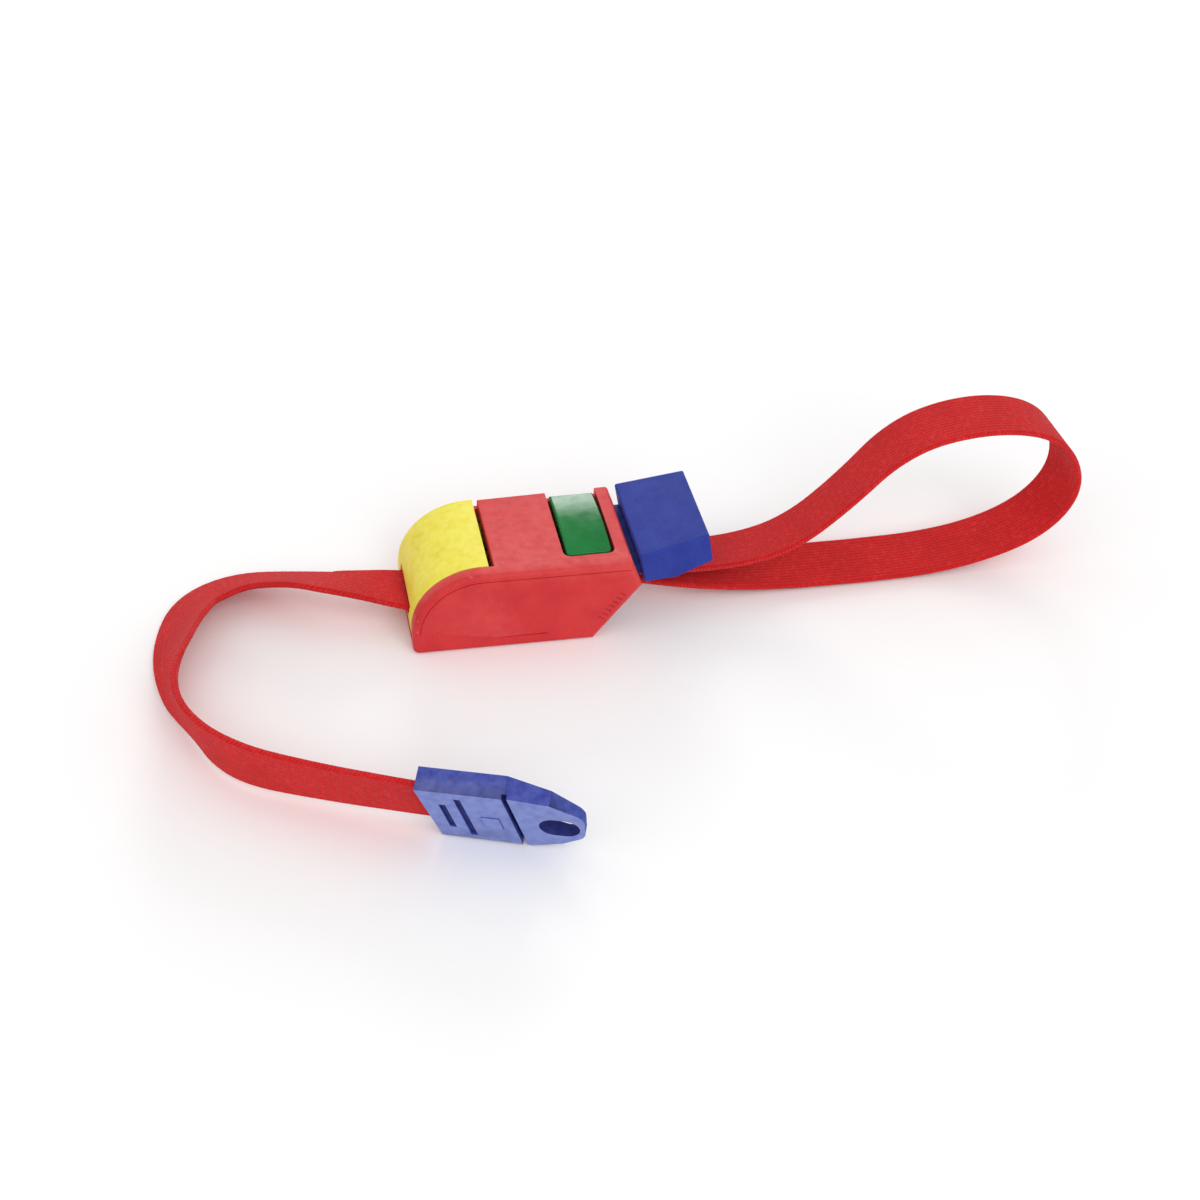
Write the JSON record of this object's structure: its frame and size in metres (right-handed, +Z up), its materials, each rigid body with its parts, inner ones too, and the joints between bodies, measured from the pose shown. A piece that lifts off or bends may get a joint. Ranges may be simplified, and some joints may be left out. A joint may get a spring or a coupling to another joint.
{
  "type": "quick-release tourniquet",
  "caption": "One-handed tourniquet: plastic housing with nose release lever, latch button and thumb lever on an elastic strap with a pull loop and a latch tongue.",
  "frame": {"origin": "on the underside, under the middle of the housing and its levers", "axes": "+X along the strap towards the pull loop, +Y towards the thin side cover, +Z up"},
  "size_m": [0.2176, 0.0974, 0.0429],
  "materials": {
    "housing_red": "moulded, satin",
    "lever_yellow": "moulded, satin",
    "button_green": "moulded, satin",
    "lever_blue": "moulded, satin",
    "tongue_blue": "moulded, satin",
    "strap_red": "woven elastic webbing",
    "inner_dark": "moulded, plain",
    "steel": "plated"
  },
  "bodies": {
    "housing": {"near_side_cover": "housing_red", "far_side_cover": "housing_red", "top_cover": "housing_red", "base_cover": "housing_red", "strap_deck": "inner_dark", "strap_rivets": "steel", "tie_screws": "steel", "release_lever_pin": "steel", "release_lever_spring": "steel", "latch_spring_near": "steel", "latch_spring_far": "steel", "thumb_lever_pin": "steel", "thumb_lever_spring": "steel", "nose_guide_bar": "steel", "strap_inner_run": "strap_red", "strap_loop": "strap_red", "strap_tail": "strap_red", "tongue_body": "tongue_blue", "tongue_wedge": "inner_dark"},
    "release_lever_body": {"release_lever": "lever_yellow", "clamp_shoe": "steel"},
    "latch_body": {"latch_button": "button_green", "latch_yoke": "inner_dark"},
    "thumb_lever_body": {"thumb_lever": "lever_blue", "cam_insert": "steel"}
  },
  "joints": [
    {"name": "release_lever_press", "type": "hinge", "parent": "housing", "child": "release_lever_body", "pos_m": [-0.0212, 0, 0.0136], "axis": [0, -1, 0], "range_deg": [0, 4], "stiffness_Nm_per_rad": 0.2, "springref_deg": -11.46, "deforming": ["release_lever_spring"]},
    {"name": "latch_press", "type": "slide", "parent": "housing", "child": "latch_body", "axis": [0, 0, -1], "range_m": [0, 0.0016], "stiffness_N_per_m": 800, "springref_m": -0.003, "deforming": ["latch_spring_near", "latch_spring_far"]},
    {"name": "thumb_lever_press", "type": "hinge", "parent": "housing", "child": "thumb_lever_body", "pos_m": [0.0133, 0, 0.0156], "axis": [0, 1, 0], "range_deg": [0, 10], "stiffness_Nm_per_rad": 0.1, "springref_deg": -14.32}
  ]
}
